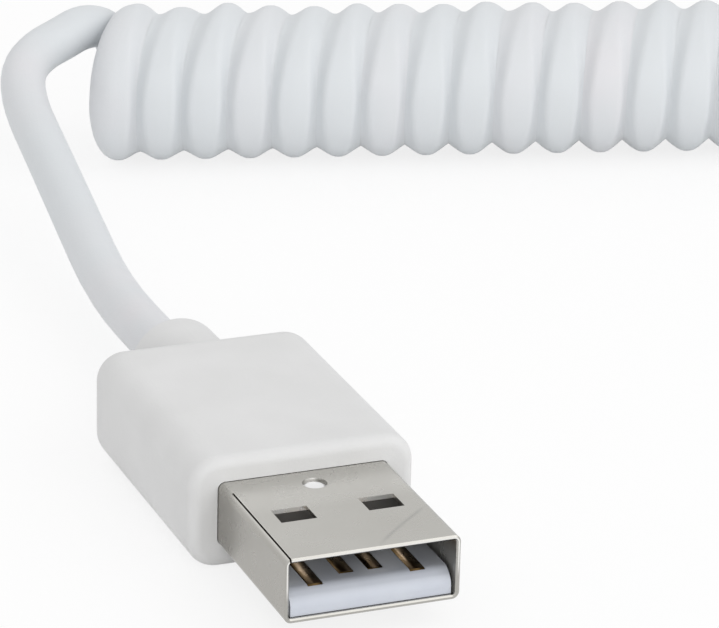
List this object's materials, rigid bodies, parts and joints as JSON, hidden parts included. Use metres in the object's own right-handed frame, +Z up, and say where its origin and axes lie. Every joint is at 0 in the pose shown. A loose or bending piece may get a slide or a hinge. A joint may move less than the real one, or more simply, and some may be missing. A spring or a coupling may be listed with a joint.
{
  "type": "coiled cable",
  "caption": "Coiled charging cable: a cord wound into a springy coil between a flat USB-A plug and a small micro-USB plug, each in a moulded grip.",
  "frame": {"origin": "on the floor, under the middle of the large plug's grip", "axes": "+Z up from the floor, -Y the way the large plug points, +X towards the coil's far end"},
  "size_m": [0.1353, 0.0999, 0.013],
  "materials": {
    "grip_plastic": "soft moulded PVC, fine matte grain",
    "cord_jacket": "soft PVC jacket, satin",
    "shell_metal": "nickel-plated sheet, satin",
    "insulator_plastic": "smooth moulded plastic",
    "contact_gold": "thin gold plate",
    "inner_plastic": "milky inner moulding",
    "spring_steel": "bare stainless strip",
    "wire_red": "insulated wire",
    "wire_white": "insulated wire",
    "wire_green": "insulated wire",
    "wire_black": "insulated wire"
  },
  "bodies": {
    "usb_a_end": {"usb_a_overmould": "grip_plastic", "usb_a_shell": "shell_metal", "usb_a_insulator": "insulator_plastic", "usb_a_contact_vbus": "contact_gold", "usb_a_contact_data_minus": "contact_gold", "usb_a_contact_data_plus": "contact_gold", "usb_a_contact_ground": "contact_gold", "usb_a_inner_mould": "inner_plastic", "usb_a_wire_red": "wire_red", "usb_a_wire_white": "wire_white", "usb_a_wire_green": "wire_green", "usb_a_wire_black": "wire_black", "lead_usb_a": "cord_jacket", "coil": "cord_jacket"},
    "micro_usb_end": {"lead_micro_usb": "cord_jacket", "micro_usb_overmould": "grip_plastic", "micro_usb_shell": "shell_metal", "micro_usb_insulator": "insulator_plastic", "micro_usb_latch_spring": "spring_steel", "micro_usb_contact_vbus": "contact_gold", "micro_usb_contact_data_minus": "contact_gold", "micro_usb_contact_data_plus": "contact_gold", "micro_usb_contact_id": "contact_gold", "micro_usb_contact_ground": "contact_gold", "micro_usb_inner_mould": "inner_plastic", "micro_usb_wire_red": "wire_red", "micro_usb_wire_white": "wire_white", "micro_usb_wire_green": "wire_green", "micro_usb_wire_black": "wire_black"}
  },
  "joints": [
    {"name": "coil_stretch", "type": "slide", "parent": "usb_a_end", "child": "micro_usb_end", "axis": [0.9664, -0.2571, 0], "range_m": [0, 0.3], "stiffness_N_per_m": 12, "deforming": ["coil"]}
  ]
}
